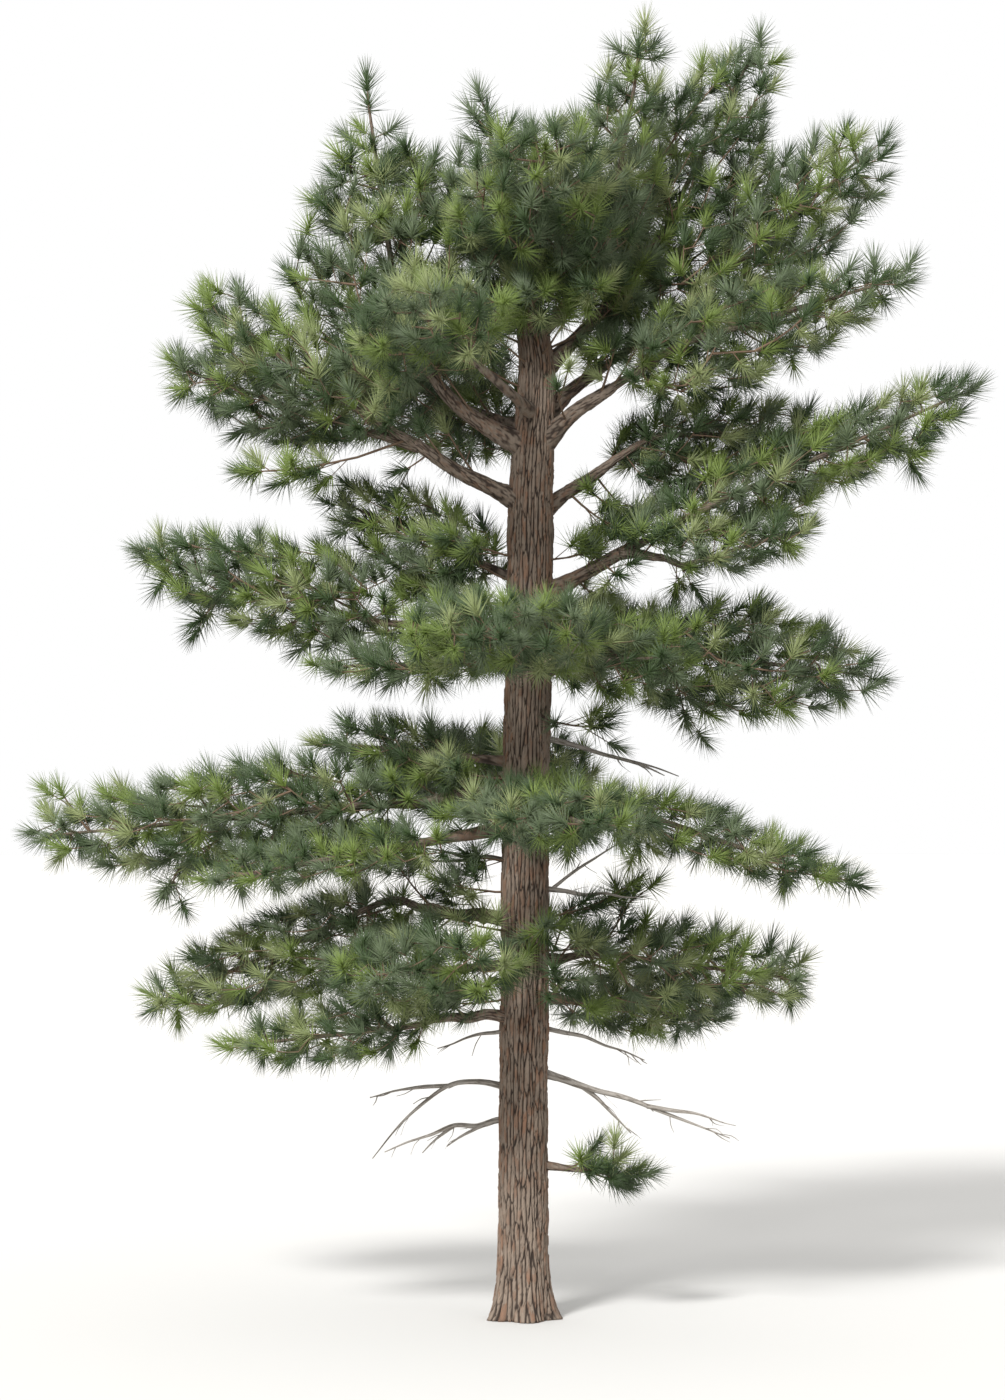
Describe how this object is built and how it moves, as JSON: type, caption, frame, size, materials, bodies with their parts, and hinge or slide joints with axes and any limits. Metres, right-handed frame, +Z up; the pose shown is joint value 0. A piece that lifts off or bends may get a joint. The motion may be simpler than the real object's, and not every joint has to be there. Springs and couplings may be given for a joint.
{
  "type": "conifer tree",
  "caption": "Tall wild conifer with a straight bare lower trunk, layered lower boughs, dead snags and a broad many-headed crown of long needles, fixed in level ground",
  "frame": {"origin": "middle of the flat cut under the trunk, at ground level", "axes": "+Z up the trunk, +X to the right as seen from the front, -Y towards the front view"},
  "size_m": [9.0763, 6.8824, 12.0621],
  "materials": {
    "bark": "matt",
    "dead_wood": "matt",
    "needles": "matt"
  },
  "bodies": {
    "root": {"arm_crown_left": "bark", "arm_right_fourth": "bark", "bough_crown_left": "bark", "bough_left_low_front": "bark", "bough_left_lowest": "bark", "bough_left_second": "bark", "bough_left_third": "bark", "bough_right_fourth": "bark", "bough_right_lowest": "bark", "bough_right_second": "bark", "bough_right_third": "bark", "dead_limb_left_first": "dead_wood", "dead_limb_left_fourth": "dead_wood", "dead_limb_left_second": "dead_wood", "dead_limb_left_third": "dead_wood", "dead_limb_right_first": "dead_wood", "dead_limb_right_fourth": "dead_wood", "dead_limb_right_second": "dead_wood", "dead_limb_right_third": "dead_wood", "leader_left": "bark", "leader_right_inner": "bark", "leader_right_outer": "bark", "limb_right_fifth": "bark", "limb_right_seventh": "bark", "limb_right_sixth": "bark", "needles_back_fifth": "needles", "needles_back_fourth": "needles", "needles_back_lowest": "needles", "needles_back_second": "needles", "needles_back_third": "needles", "needles_crown_left": "needles", "needles_crown_left_low": "needles", "needles_front_fifth": "needles", "needles_front_fourth": "needles", "needles_front_lowest": "needles", "needles_front_second": "needles", "needles_front_third": "needles", "needles_leader_left": "needles", "needles_leader_right_inner": "needles", "needles_leader_right_outer": "needles", "needles_left_low_front": "needles", "needles_left_lowest": "needles", "needles_left_second": "needles", "needles_left_second_inner": "needles", "needles_left_second_low": "needles", "needles_left_third": "needles", "needles_left_third_high": "needles", "needles_left_third_low": "needles", "needles_low_tuft_right": "needles", "needles_right_fifth": "needles", "needles_right_fourth": "needles", "needles_right_lowest": "needles", "needles_right_second": "needles", "needles_right_seventh": "needles", "needles_right_sixth": "needles", "needles_right_third": "needles", "needles_right_third_inner": "needles", "needles_right_under": "needles", "needles_trunk_tip": "needles", "trunk": "bark"}
  },
  "joints": []
}
